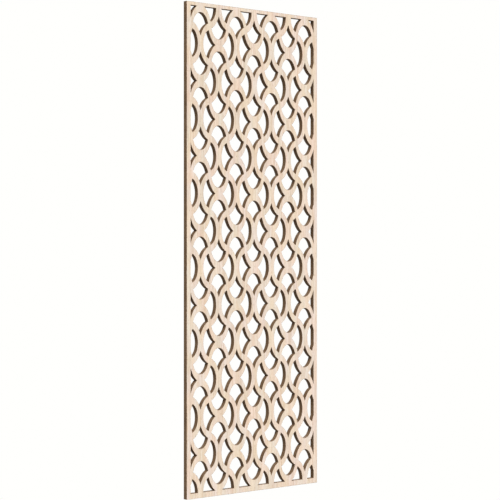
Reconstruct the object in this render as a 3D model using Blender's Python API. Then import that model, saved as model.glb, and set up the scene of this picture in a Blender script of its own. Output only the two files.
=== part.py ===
"""Fretwork panel: one sheet of thin plywood, cut through in a lattice of interlocking half rings.

Metres, +Z up. The panel stands upright and its face looks along -Y. The origin is on the back of the
top rail, at mid width, where the panel is fixed to whatever carries it.
"""

import math
from collections import namedtuple

import bpy
from mathutils import Matrix

# The sheet and its plain border
PANEL_WIDTH = 0.2126
PANEL_HEIGHT = 0.600
SHEET_THICKNESS = 0.006
STILE_WIDTH = 0.0060
TOP_RAIL_WIDTH = 0.0043
BOTTOM_RAIL_WIDTH = 0.0066

# The lattice. Its crossings lie on a grid: the columns stand clear of the stiles, and the first and the
# last row lie on the inner edges of the rails.
COLUMNS = 7
COLUMN_PITCH = 0.02836
ROW_STEPS = 13

# The openings are petals, and the bands between them look like half rings that lie over each other. The
# petals are drawn on a square grid, with these sizes measured across the panel, and the grid is then
# stretched upward to the row pitch. A petal has a round end, an arc about a point on its middle line,
# and two hollow sides that meet in a tip, arcs about a point beyond the tip and its mirror image.
Petal = namedtuple('Petal', 'round_centre round_radius side_centre side_radius')
UPRIGHT_PETAL = Petal(0.01693, 0.01233, (0.03108, 0.01741), 0.01957)
SIDEWAYS_PETAL = Petal(0.01542, 0.01110, (0.03096, 0.01790), 0.01970)

# Straight runs that stand for each curved side of an opening
ROUND_END_RUNS = 5
POINTED_SIDE_RUNS = 3

# The face veneer: pale, matt, bare wood (linear colour)
WOOD_COLOUR = (0.84, 0.68, 0.54, 1.0)
WOOD_ROUGHNESS = 0.6

FIELD_LEFT = -PANEL_WIDTH / 2 + STILE_WIDTH
FIELD_RIGHT = PANEL_WIDTH / 2 - STILE_WIDTH
FIELD_TOP = -TOP_RAIL_WIDTH
FIELD_BOTTOM = -PANEL_HEIGHT + BOTTOM_RAIL_WIDTH
ROW_PITCH = (FIELD_TOP - FIELD_BOTTOM) / ROW_STEPS
STRETCH = ROW_PITCH / COLUMN_PITCH

# The origin is at half the height of the top rail, and the sheet is modelled with its top edge at zero
TOP_EDGE_ABOVE_ORIGIN = TOP_RAIL_WIDTH / 2


def arc(centre, radius, start, end, runs):
    """Points along an arc from one angle to another, without the last one."""
    points = []
    for step in range(runs):
        angle = start + (end - start) * step / runs
        points.append((centre[0] + radius * math.cos(angle), centre[1] + radius * math.sin(angle)))
    return points


def petal_outline(petal):
    """A petal on the square grid, pointing along +X, with the crossing at its round end at the origin."""
    side_x, side_y = petal.side_centre
    # The shoulder is where the round end meets a side
    across = side_x - petal.round_centre
    span = math.hypot(across, side_y)
    along = (petal.round_radius ** 2 - petal.side_radius ** 2 + span ** 2) / (2 * span)
    lift = math.sqrt(petal.round_radius ** 2 - along ** 2)
    shoulder_x = petal.round_centre + (along * across - lift * side_y) / span
    shoulder_y = (along * side_y + lift * across) / span
    tip_x = side_x - math.sqrt(petal.side_radius ** 2 - side_y ** 2)

    shoulder_on_round = math.atan2(shoulder_y, shoulder_x - petal.round_centre)
    shoulder_on_side = math.atan2(shoulder_y - side_y, shoulder_x - side_x)
    tip_on_side = math.atan2(-side_y, tip_x - side_x)
    return (
        arc((side_x, side_y), petal.side_radius, tip_on_side, shoulder_on_side, POINTED_SIDE_RUNS)
        + arc((petal.round_centre, 0.0), petal.round_radius, shoulder_on_round,
              2 * math.pi - shoulder_on_round, ROUND_END_RUNS)
        + arc((side_x, -side_y), petal.side_radius, -shoulder_on_side, -tip_on_side, POINTED_SIDE_RUNS)
    )


def placed(outline, column, row, direction):
    """The outline at a crossing, turned to one of the four directions and stretched to the rows."""
    turn_x, turn_y = direction
    origin_x = COLUMN_PITCH * (column - (COLUMNS - 1) / 2)
    origin_y = FIELD_TOP - ROW_PITCH * row
    return [(origin_x + x * turn_x - y * turn_y, origin_y + STRETCH * (x * turn_y + y * turn_x))
            for x, y in outline]


def cut_at(outline, axis, limit, keep_above):
    """The part of an outline on one side of a straight line across the panel."""
    kept = []
    for here, after in zip(outline, outline[1:] + outline[:1]):
        here_in = (here[axis] >= limit) == keep_above
        after_in = (after[axis] >= limit) == keep_above
        if here_in:
            kept.append(here)
        if here_in != after_in:
            share = (limit - here[axis]) / (after[axis] - here[axis])
            kept.append(tuple(a + share * (b - a) for a, b in zip(here, after)))
    return kept


def inside_field(outline):
    """The part of an outline that lies inside the border."""
    for axis, low, high in ((0, FIELD_LEFT, FIELD_RIGHT), (1, FIELD_BOTTOM, FIELD_TOP)):
        outline = cut_at(outline, axis, low, True)
        outline = cut_at(outline, axis, high, False)
    return outline


def openings():
    """Every opening: one on each step of the grid, with its round end at the crossing it belongs to."""
    upright_petal = petal_outline(UPRIGHT_PETAL)
    sideways_petal = petal_outline(SIDEWAYS_PETAL)
    outlines = []
    for row in range(ROW_STEPS + 1):
        for column in range(-1, COLUMNS + 1):
            upright = (row + column) % 2 == 0
            petal = upright_petal if upright else sideways_petal
            for turn in (-1, 1):
                direction = (0, turn) if upright else (turn, 0)
                outline = inside_field(placed(petal, column, row, direction))
                if len(outline) > 2:
                    outlines.append(outline)
    return outlines


def add_outline(curve, outline):
    """One closed outline of straight runs on a flat curve."""
    spline = curve.splines.new('POLY')
    spline.points.add(len(outline) - 1)
    for point, (x, y) in zip(spline.points, outline):
        point.co = (x, y, 0.0, 1.0)
    spline.use_cyclic_u = True


def wood_material():
    """Pale face veneer."""
    material = bpy.data.materials.new('pale_wood')
    material.use_nodes = True
    shader = material.node_tree.nodes['Principled BSDF']
    shader.inputs['Base Color'].default_value = WOOD_COLOUR
    shader.inputs['Roughness'].default_value = WOOD_ROUGHNESS
    shader.inputs['Metallic'].default_value = 0.0
    return material


def fretwork_panel(collection):
    """The sheet: its edge and all its openings on one flat curve, filled and given its thickness."""
    curve = bpy.data.curves.new('fretwork_panel', 'CURVE')
    curve.dimensions = '2D'
    curve.fill_mode = 'BOTH'
    curve.extrude = SHEET_THICKNESS / 2
    half = PANEL_WIDTH / 2
    add_outline(curve, [(-half, 0.0), (half, 0.0), (half, -PANEL_HEIGHT), (-half, -PANEL_HEIGHT)])
    for outline in openings():
        add_outline(curve, outline)
    curve.materials.append(wood_material())

    panel = bpy.data.objects.new('fretwork_panel', curve)
    collection.objects.link(panel)
    # Stood upright with its face to -Y and its back on the plane y = 0
    panel.matrix_world = (Matrix.Translation((0.0, -SHEET_THICKNESS / 2, TOP_EDGE_ABOVE_ORIGIN))
                          @ Matrix.Rotation(math.pi / 2, 4, 'X'))
    return panel


for old in list(bpy.data.objects):
    bpy.data.objects.remove(old)
grille = bpy.data.collections.new('fretwork_grille')
bpy.context.scene.collection.children.link(grille)
fretwork_panel(grille)
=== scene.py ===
import math
from collections import namedtuple

import bmesh
import bpy
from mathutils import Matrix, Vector


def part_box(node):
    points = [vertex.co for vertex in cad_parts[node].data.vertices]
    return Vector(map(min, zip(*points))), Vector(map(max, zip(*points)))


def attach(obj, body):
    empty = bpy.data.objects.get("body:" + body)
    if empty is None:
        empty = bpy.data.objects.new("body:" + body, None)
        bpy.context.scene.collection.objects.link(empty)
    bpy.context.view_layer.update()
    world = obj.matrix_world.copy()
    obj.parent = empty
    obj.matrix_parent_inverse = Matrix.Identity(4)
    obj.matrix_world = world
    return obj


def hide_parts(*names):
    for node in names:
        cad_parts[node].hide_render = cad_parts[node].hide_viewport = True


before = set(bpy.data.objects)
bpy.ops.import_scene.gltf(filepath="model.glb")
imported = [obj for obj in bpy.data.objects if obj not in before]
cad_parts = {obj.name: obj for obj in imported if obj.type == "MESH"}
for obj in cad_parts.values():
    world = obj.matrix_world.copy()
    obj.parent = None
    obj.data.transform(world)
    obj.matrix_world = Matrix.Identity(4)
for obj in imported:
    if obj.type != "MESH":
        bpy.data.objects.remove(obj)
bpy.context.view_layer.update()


# The fretwork panel.
# One sheet of birch plywood, sanded and bare, cut right through by laser in a lattice of half rings.
# The border and the lattice are one piece: nothing is glued on, and both faces are flat.

PANEL_LOW, PANEL_HIGH = [Vector(corner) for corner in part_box("fretwork_panel")]
STILE_WIDTH = 0.0060
TOP_RAIL_WIDTH = 0.0043
BOTTOM_RAIL_WIDTH = 0.0066

# The crossings of the lattice stand on a grid, whose first and last rows lie on the rails' inner edges
COLUMNS = 7
COLUMN_PITCH = 0.02836
ROW_STEPS = 13

# The openings are petals in two shapes, and the bands between them look like half rings laid over each
# other. A petal is drawn on a square grid, which is then stretched upward to the row pitch. Its round
# end is an arc about a point on its middle line, and its hollow sides are arcs about points beyond the tip.
Petal = namedtuple("Petal", "round_centre round_radius side_centre side_radius")
UPRIGHT_PETAL = Petal(0.01693, 0.01233, (0.03108, 0.01741), 0.01957)
SIDEWAYS_PETAL = Petal(0.01542, 0.01110, (0.03096, 0.01790), 0.01970)

FIELD_LOW = Vector((PANEL_LOW.x + STILE_WIDTH, PANEL_LOW.z + BOTTOM_RAIL_WIDTH))
FIELD_HIGH = Vector((PANEL_HIGH.x - STILE_WIDTH, PANEL_HIGH.z - TOP_RAIL_WIDTH))
ROW_PITCH = (FIELD_HIGH.y - FIELD_LOW.y) / ROW_STEPS
STRETCH = ROW_PITCH / COLUMN_PITCH

# Straight runs that stand for each curve, about 2 mm long
ROUND_END_RUNS = 22
POINTED_SIDE_RUNS = 9
# Where the border cuts an opening off, it can leave a run of almost no length, which is left out
SHORTEST_RUN = 0.00002


def arc(centre, radius, start, end, runs):
    """Points along an arc from one angle to another, without the last one."""
    angles = [start + (end - start) * step / runs for step in range(runs)]
    return [Vector((centre[0] + radius * math.cos(a), centre[1] + radius * math.sin(a))) for a in angles]


def petal_outline(petal):
    """A petal on the square grid, pointing along +X, with the crossing at its round end at the origin."""
    side_x, side_y = petal.side_centre
    # The shoulder is where the round end meets a side
    across = side_x - petal.round_centre
    span = math.hypot(across, side_y)
    along = (petal.round_radius ** 2 - petal.side_radius ** 2 + span ** 2) / (2 * span)
    lift = math.sqrt(petal.round_radius ** 2 - along ** 2)
    shoulder_x = petal.round_centre + (along * across - lift * side_y) / span
    shoulder_y = (along * side_y + lift * across) / span
    tip_x = side_x - math.sqrt(petal.side_radius ** 2 - side_y ** 2)
    shoulder_on_round = math.atan2(shoulder_y, shoulder_x - petal.round_centre)
    shoulder_on_side = math.atan2(shoulder_y - side_y, shoulder_x - side_x)
    tip_on_side = math.atan2(-side_y, tip_x - side_x)
    return (
        arc((side_x, side_y), petal.side_radius, tip_on_side, shoulder_on_side, POINTED_SIDE_RUNS)
        + arc((petal.round_centre, 0.0), petal.round_radius, shoulder_on_round,
              2 * math.pi - shoulder_on_round, ROUND_END_RUNS)
        + arc((side_x, -side_y), petal.side_radius, -shoulder_on_side, -tip_on_side, POINTED_SIDE_RUNS)
    )


def placed(outline, column, row, direction):
    """An outline at its crossing, turned to one of the four directions and stretched to the rows."""
    turn_x, turn_y = direction
    origin = Vector((COLUMN_PITCH * (column - (COLUMNS - 1) / 2), FIELD_HIGH.y - ROW_PITCH * row))
    return [origin + Vector((p.x * turn_x - p.y * turn_y, STRETCH * (p.x * turn_y + p.y * turn_x)))
            for p in outline]


def cut_at(outline, axis, limit, keep_above):
    """The part of an outline on one side of a straight line across the panel."""
    kept = []
    for here, after in zip(outline, outline[1:] + outline[:1]):
        here_in = (here[axis] >= limit) == keep_above
        after_in = (after[axis] >= limit) == keep_above
        if here_in:
            kept.append(here)
        if here_in != after_in:
            kept.append(here.lerp(after, (limit - here[axis]) / (after[axis] - here[axis])))
    return kept


def inside_field(outline):
    """The part of an outline that the border leaves open."""
    for axis in (0, 1):
        outline = cut_at(outline, axis, FIELD_LOW[axis], True)
        outline = cut_at(outline, axis, FIELD_HIGH[axis], False)
    return [p for p, after in zip(outline, outline[1:] + outline[:1]) if (after - p).length > SHORTEST_RUN]


def openings():
    """The outlines of all the openings: upright petals at every second crossing, sideways between them."""
    upright_petal = petal_outline(UPRIGHT_PETAL)
    sideways_petal = petal_outline(SIDEWAYS_PETAL)
    outlines = []
    for row in range(ROW_STEPS + 1):
        # Petals of one more column on each side reach in past the stiles
        for column in range(-1, COLUMNS + 1):
            upright = (row + column) % 2 == 0
            petal = upright_petal if upright else sideways_petal
            for turn in (-1, 1):
                direction = (0, turn) if upright else (turn, 0)
                outline = inside_field(placed(petal, column, row, direction))
                if len(outline) > 2:
                    outlines.append(outline)
    return outlines


def signed_area(outline):
    """The area of an outline, positive when it runs anticlockwise."""
    return sum(a.x * b.y - b.x * a.y for a, b in zip(outline, outline[1:] + outline[:1])) / 2


# How far a sharp corner may move, as a multiple of the distance that its sides move
LONGEST_MITRE = 1.8


def into_wood(outline, distance):
    """An outline moved sideways into the wood, which lies to the left of its runs."""
    moved = []
    for before, here, after in zip(outline[-1:] + outline[:-1], outline, outline[1:] + outline[:1]):
        arrive = (here - before).normalized()
        leave = (after - here).normalized()
        side = Vector((-arrive.y - leave.y, arrive.x + leave.x))
        reach = min(2 / side.length, LONGEST_MITRE)
        moved.append(here + side.normalized() * distance * reach)
    return moved


# The beam leaves a fine arris, and smoke stains the veneer in a line beside the cut, wider on the back.
# Strips run round every outline, from the face, across the cut, to the back. Each line beside a strip has
# a distance into the wood, a depth and a share of stain, and each strip shows one of two materials.
ARRIS = 0.00016
FACE_STAIN = 0.0006
BACK_STAIN = 0.0014
STRIP_LINES = [
    (FACE_STAIN, PANEL_LOW.y, 0.0),
    (ARRIS, PANEL_LOW.y, 1.0),
    (0.0, PANEL_LOW.y + ARRIS, 1.0),
    (0.0, PANEL_HIGH.y - ARRIS, 1.0),
    (ARRIS, PANEL_HIGH.y, 1.0),
    (BACK_STAIN, PANEL_HIGH.y, 0.0),
]
VENEER, SCORCHED = 0, 1
STRIP_MATERIALS = [VENEER, SCORCHED, SCORCHED, SCORCHED, VENEER]
# Edges that turn more sharply than this stay crisp
SMOOTHED_UP_TO = math.radians(30)


def add_strips(work, stain, outline):
    """The strips round one outline. Gives their first and last ring of points, on the face and the back."""
    rings = []
    for distance, depth, stained in STRIP_LINES:
        ring = [work.verts.new((p.x, depth, p.y)) for p in into_wood(outline, distance)]
        for vert in ring:
            vert[stain] = stained
        rings.append(ring)
    for near, far, material in zip(rings, rings[1:], STRIP_MATERIALS):
        for index in range(len(outline)):
            after = (index + 1) % len(outline)
            quad = work.faces.new((near[index], far[index], far[after], near[after]))
            quad.material_index = material
    return rings[0], rings[-1]


def fill_flat(work, rings, outward):
    """The flat veneer between rings of points, on the face or the back: outward is its way along Y."""
    edges = []
    for ring in rings:
        for vert, after in zip(ring, ring[1:] + ring[:1]):
            edges.append(work.edges.get((vert, after)))
    filled = bmesh.ops.triangle_fill(work, edges=edges, use_beauty=True, normal=(0, outward, 0))
    for face in filled["geom"]:
        if isinstance(face, bmesh.types.BMFace):
            face.material_index = VENEER


def panel_mesh():
    """The sheet: strips round its rim and every opening, and then the veneer of its face and its back."""
    corners = [(PANEL_LOW.x, PANEL_LOW.z), (PANEL_HIGH.x, PANEL_LOW.z),
               (PANEL_HIGH.x, PANEL_HIGH.z), (PANEL_LOW.x, PANEL_HIGH.z)]
    outlines = [[Vector(corner) for corner in corners]]
    for outline in openings():
        outlines.append(outline[::-1] if signed_area(outline) > 0 else outline)
    work = bmesh.new()
    stain = work.verts.layers.float.new("stain")
    face_rings = []
    back_rings = []
    for outline in outlines:
        on_face, on_back = add_strips(work, stain, outline)
        face_rings.append(on_face)
        back_rings.append(on_back)
    fill_flat(work, face_rings, -1)
    fill_flat(work, back_rings, 1)
    bmesh.ops.recalc_face_normals(work, faces=work.faces)
    mesh = bpy.data.meshes.new("fretwork")
    work.to_mesh(mesh)
    work.free()
    mesh.shade_smooth()
    mesh.set_sharp_from_angle(angle=SMOOTHED_UP_TO)
    return mesh


def linear(hex_colour):
    """An sRGB hex colour as linear red, green, blue and alpha."""
    parts = [int(hex_colour[i:i + 2], 16) / 255 for i in (1, 3, 5)]
    return [c / 12.92 if c <= 0.04045 else ((c + 0.055) / 1.055) ** 2.4 for c in parts] + [1.0]


def new_material(name):
    """A material with only a Principled shader: the material, its node tree and the shader."""
    material = bpy.data.materials.new(name)
    material.use_nodes = True
    return material, material.node_tree, material.node_tree.nodes["Principled BSDF"]


def add(tree, kind, settings=None, tones=(), **links):
    """Adds a node with its settings and, for a ramp, its two tones. A link names an input, or its number
    as in0, and gives its value or what feeds it."""
    node = tree.nodes.new(kind)
    for name, value in (settings or {}).items():
        setattr(node, name, value)
    for index, (position, colour) in enumerate(tones):
        node.color_ramp.elements[index].position = position
        node.color_ramp.elements[index].color = linear(colour)
    for name, value in links.items():
        socket = node.inputs[int(name[2:])] if name.startswith("in") else node.inputs[name.replace("_", " ")]
        if isinstance(value, bpy.types.NodeSocket):
            tree.links.new(value, socket)
        else:
            socket.default_value = value
    return node


# A pattern is soft patches or lines in the wood. It has a size in millimetres across the sheet, through it
# and up it, how much finer detail it holds, how far it wanders, and two tones, each with the strength,
# from 0 to 1, at which the wood has it. White leaves the wood as it is.
Pattern = namedtuple("Pattern", "size_mm detail wander tones")
METRES_PER_MM = 0.001
WHITE = "#FFFFFF"
# How strong each finer level of detail is beside the one before it
FINER_SHARE = 0.55


def strength_of(pattern, tree, place):
    """How strong a pattern is at each place."""
    scale = [1 / (length * METRES_PER_MM) for length in pattern.size_mm]
    scaled = add(tree, "ShaderNodeMapping", Vector=place, Scale=scale)
    noise = add(tree, "ShaderNodeTexNoise", Vector=scaled.outputs["Vector"], Scale=1.0,
                Detail=pattern.detail, Roughness=FINER_SHARE, Distortion=pattern.wander)
    return noise.outputs["Fac"]


def shaded(tree, wood, strength, tones):
    """Wood whose colour is multiplied by the tone for each strength."""
    tone = add(tree, "ShaderNodeValToRGB", tones=tones, Fac=strength).outputs["Color"]
    both = add(tree, "ShaderNodeMixRGB", {"blend_type": "MULTIPLY"}, Fac=1.0, Color1=wood, Color2=tone)
    return both.outputs["Color"]


# Flames of straw and rosy wood, patches of greyer and warmer wood, and growth lines that fade in and out.
# Fibres, which look silky, and pores, really 0.1 mm wide, are drawn coarser so that they show.
FLAMES = Pattern((12, 12, 60), 1.0, 0.6, [(0.35, "#E8DACA"), (0.65, "#EBD9CF")])
WARMTH = Pattern((9, 9, 30), 1.0, 0.3, [(0.35, "#FAFEFF"), (0.65, "#FFFCF4")])
GROWTH_LINES = Pattern((2.5, 2.5, 70), 3.0, 0.8, [(0.35, "#F0E9E1"), (0.6, WHITE)])
PORES = Pattern((0.4, 0.4, 4), 0.0, 0.0, [(0.23, "#DCCCBA"), (0.32, WHITE)])
FIBRES = Pattern((0.5, 0.5, 12), 3.0, 0.1, [(0.3, "#EDE7E0"), (0.6, WHITE)])
FIBRE_RELIEF = 0.00005

# Smoke covers about half of the wood's colour right at the cut, and thins out quickly away from it
SMOKE_BROWN = linear("#A57C55")
SMOKE_COVER = 0.55
SMOKE_FALL_OFF = 2.0


def birch_veneer():
    """Rotary-cut birch, sanded and left bare: pale and matt, straw to rosy, with a fine upright grain."""
    material, tree, shader = new_material("sanded_birch_veneer")
    place = add(tree, "ShaderNodeTexCoord").outputs["Object"]
    flames = strength_of(FLAMES, tree, place)
    wood = add(tree, "ShaderNodeValToRGB", tones=FLAMES.tones, Fac=flames).outputs["Color"]
    for pattern in (WARMTH, GROWTH_LINES, PORES):
        wood = shaded(tree, wood, strength_of(pattern, tree, place), pattern.tones)
    fibres = strength_of(FIBRES, tree, place)
    wood = shaded(tree, wood, fibres, FIBRES.tones)
    stain = add(tree, "ShaderNodeAttribute", {"attribute_name": "stain"}).outputs["Fac"]
    smoke = add(tree, "ShaderNodeMath", {"operation": "POWER"}, in0=stain, in1=SMOKE_FALL_OFF)
    cover = add(tree, "ShaderNodeMath", {"operation": "MULTIPLY"}, in0=smoke.outputs["Value"],
                in1=SMOKE_COVER)
    stained = add(tree, "ShaderNodeMixRGB", Fac=cover.outputs["Value"], Color1=wood, Color2=SMOKE_BROWN)
    bump = add(tree, "ShaderNodeBump", Height=fibres, Strength=0.2, Distance=FIBRE_RELIEF)
    tree.links.new(stained.outputs["Color"], shader.inputs["Base Color"])
    tree.links.new(bump.outputs["Normal"], shader.inputs["Normal"])
    shader.inputs["Roughness"].default_value = 0.62
    shader.inputs["IOR"].default_value = 1.45
    shader.inputs["Specular IOR Level"].default_value = 0.25
    return material


# The beam's ribs run straight through the sheet. The patches are where it slowed down or the smoke hung.
RIBS = Pattern((0.5, 20, 0.5), 2.0, 0.0, [(0.25, "#614D37"), (0.75, "#7D664F")])
SMOKE_PATCHES = Pattern((10, 10, 10), 2.0, 0.0, [(0.3, "#E4DED8"), (0.65, WHITE)])
RIB_RELIEF = 0.0001

# Five plies, whose joints wander a little through the sheet
PLIES = 5
PLY = (PANEL_HIGH.y - PANEL_LOW.y) / PLIES
JOINT_SHIFT = 0.0004
JOINT_WANDER = Pattern((3, 3, 3), 2.0, 0.0, [])
# The glue chars darkest, and every second ply is on end, which is a little darker. Here a tone stands at a
# distance in plies: the glue's from the nearest ply's middle, and the end grain's from an even ply's.
GLUE_TONES = [(0.37, WHITE), (0.5, "#C9C2BB")]
END_GRAIN_TONES = [(0.42, WHITE), (0.58, "#E9E4DF")]


def scorched_edge():
    """Plywood edge as the laser leaves it: charred brown and dull, ribbed by the beam, with faint plies."""
    material, tree, shader = new_material("laser_scorched_edge")
    place = add(tree, "ShaderNodeTexCoord").outputs["Object"]
    ribs = strength_of(RIBS, tree, place)
    wood = add(tree, "ShaderNodeValToRGB", tones=RIBS.tones, Fac=ribs).outputs["Color"]
    wood = shaded(tree, wood, strength_of(SMOKE_PATCHES, tree, place), SMOKE_PATCHES.tones)
    wander = strength_of(JOINT_WANDER, tree, place)
    straight = add(tree, "ShaderNodeSeparateXYZ", Vector=place).outputs["Y"]
    depth = add(tree, "ShaderNodeMath", {"operation": "MULTIPLY_ADD"}, in0=wander, in1=JOINT_SHIFT,
                in2=straight).outputs["Value"]
    # A whole number is the middle of a ply, from 0 at the face, and half way between two is a joint
    ply = add(tree, "ShaderNodeMapRange", Value=depth, From_Min=PANEL_LOW.y + (PLY + JOINT_SHIFT) / 2,
              From_Max=PANEL_HIGH.y - (PLY - JOINT_SHIFT) / 2, To_Min=0.0, To_Max=PLIES - 1.0)
    ply = ply.outputs["Result"]
    from_middle = add(tree, "ShaderNodeMath", {"operation": "PINGPONG"}, in0=ply, in1=0.5).outputs["Value"]
    wood = shaded(tree, wood, from_middle, GLUE_TONES)
    from_even_ply = add(tree, "ShaderNodeMath", {"operation": "PINGPONG"}, in0=ply, in1=1.0).outputs["Value"]
    wood = shaded(tree, wood, from_even_ply, END_GRAIN_TONES)
    bump = add(tree, "ShaderNodeBump", Height=ribs, Strength=0.3, Distance=RIB_RELIEF)
    tree.links.new(wood, shader.inputs["Base Color"])
    tree.links.new(bump.outputs["Normal"], shader.inputs["Normal"])
    shader.inputs["Roughness"].default_value = 0.8
    shader.inputs["IOR"].default_value = 1.45
    shader.inputs["Specular IOR Level"].default_value = 0.2
    return material


panel = bpy.data.objects.new("fretwork_sheet", panel_mesh())
bpy.context.scene.collection.objects.link(panel)
panel.data.materials.append(birch_veneer())
panel.data.materials.append(scorched_edge())
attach(panel, "root")
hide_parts("fretwork_panel")


# The studio.
# The panel hangs clear of a plain pale floor, inside a white cyclorama. Both only show, and neither gives
# nor stops light. Even light comes from all round, with a broad lamp in front and a weaker one behind.

CENTRE = Vector((0.0, 0.0, (PANEL_LOW.z + PANEL_HIGH.z) / 2))
FLOOR_BELOW = 1.0
FLOOR_RADIUS = 5.9
FLOOR_SIDES = 96
CYCLORAMA_RADIUS = 6.0
CYCLORAMA_SEGMENTS = 96
CYCLORAMA_RINGS = 48

# How far from its middle the floor starts to whiten, and where it is as white as the cyclorama
WHITENS_FROM = 1.5
WHITE_FROM = 5.0
FLOOR_GLOW = 0.3
CYCLORAMA_GLOW = 1.0


def matt_surface(name, colour):
    """A matt stage surface, which may also glow white."""
    material, tree, shader = new_material(name)
    shader.inputs["Base Color"].default_value = linear(colour)
    shader.inputs["Roughness"].default_value = 1.0
    shader.inputs["Specular IOR Level"].default_value = 0.0
    shader.inputs["Emission Color"].default_value = linear("#FFFFFD")
    return material, tree, shader


def floor_material():
    """Pale matt floor that whitens towards its rim, where it meets the cyclorama."""
    material, tree, shader = matt_surface("pale_floor", "#AEADAB")
    place = add(tree, "ShaderNodeTexCoord").outputs["Object"]
    away = add(tree, "ShaderNodeVectorMath", {"operation": "LENGTH"}, in0=place)
    glow = add(tree, "ShaderNodeMapRange", {"interpolation_type": "SMOOTHSTEP"}, Value=away.outputs["Value"],
               From_Min=WHITENS_FROM, From_Max=WHITE_FROM, To_Min=0.0, To_Max=FLOOR_GLOW)
    tree.links.new(glow.outputs["Result"], shader.inputs["Emission Strength"])
    return material


def cyclorama_material():
    """White that shows evenly, whatever light falls on it."""
    material, tree, shader = matt_surface("lit_cyclorama", "#000000")
    shader.inputs["Emission Strength"].default_value = CYCLORAMA_GLOW
    return material


bpy.ops.mesh.primitive_circle_add(vertices=FLOOR_SIDES, radius=FLOOR_RADIUS, fill_type="NGON",
                                  location=(0.0, 0.0, PANEL_LOW.z - FLOOR_BELOW))
floor = bpy.context.object
floor.name = "floor"
floor.data.materials.append(floor_material())

bpy.ops.mesh.primitive_uv_sphere_add(segments=CYCLORAMA_SEGMENTS, ring_count=CYCLORAMA_RINGS,
                                     radius=CYCLORAMA_RADIUS, location=CENTRE)
cyclorama = bpy.context.object
cyclorama.name = "cyclorama"
cyclorama.data.materials.append(cyclorama_material())
for surface in (floor, cyclorama):
    surface.visible_diffuse = False
    surface.visible_glossy = False
    surface.visible_transmission = False
    surface.visible_shadow = False

# The key light is on the left, in front and above, and the fill light behind on the right
KEY_FROM = Vector((-0.415, -0.6, 1.07))
KEY_STRENGTH = 1.295 * math.pi
FILL_FROM = Vector((0.5, 0.7, 0.45))
FILL_STRENGTH = 0.5 * math.pi
SOFTNESS = math.radians(25)
SURROUND_STRENGTH = 0.59


def broad_light(name, towards_light, strength):
    """A far light, wide in the sky, which comes from one direction."""
    light = bpy.data.lights.new(name, "SUN")
    light.angle = SOFTNESS
    light.energy = strength
    holder = bpy.data.objects.new(name, light)
    holder.rotation_euler = towards_light.to_track_quat("Z", "Y").to_euler()
    bpy.context.scene.collection.objects.link(holder)


broad_light("key", KEY_FROM, KEY_STRENGTH)
broad_light("fill", FILL_FROM, FILL_STRENGTH)

world = bpy.data.worlds.new("studio")
bpy.context.scene.world = world
world.use_nodes = True
world.node_tree.nodes["Background"].inputs["Color"].default_value = linear(WHITE)
world.node_tree.nodes["Background"].inputs["Strength"].default_value = SURROUND_STRENGTH

# The camera stands level with the panel's middle, to the left of it, and looks across to the right
CAMERA_BACK = 1.4525
CAMERA_LEFT = 1.2299
CAMERA_UP = 0.0003
VIEW_DIRECTION = Vector((0.64407, 0.76492, 0.0))
LENS_MM = 109.89
SENSOR_MM = 36.0

camera = bpy.data.objects.new("camera", bpy.data.cameras.new("camera"))
bpy.context.scene.collection.objects.link(camera)
camera.data.sensor_width = SENSOR_MM
camera.data.lens = LENS_MM
camera.location = (-CAMERA_LEFT, PANEL_LOW.y - CAMERA_BACK, CENTRE.z + CAMERA_UP)
camera.rotation_euler = VIEW_DIRECTION.to_track_quat("-Z", "Y").to_euler()
bpy.context.scene.camera = camera
bpy.context.scene.view_settings.view_transform = "Standard"
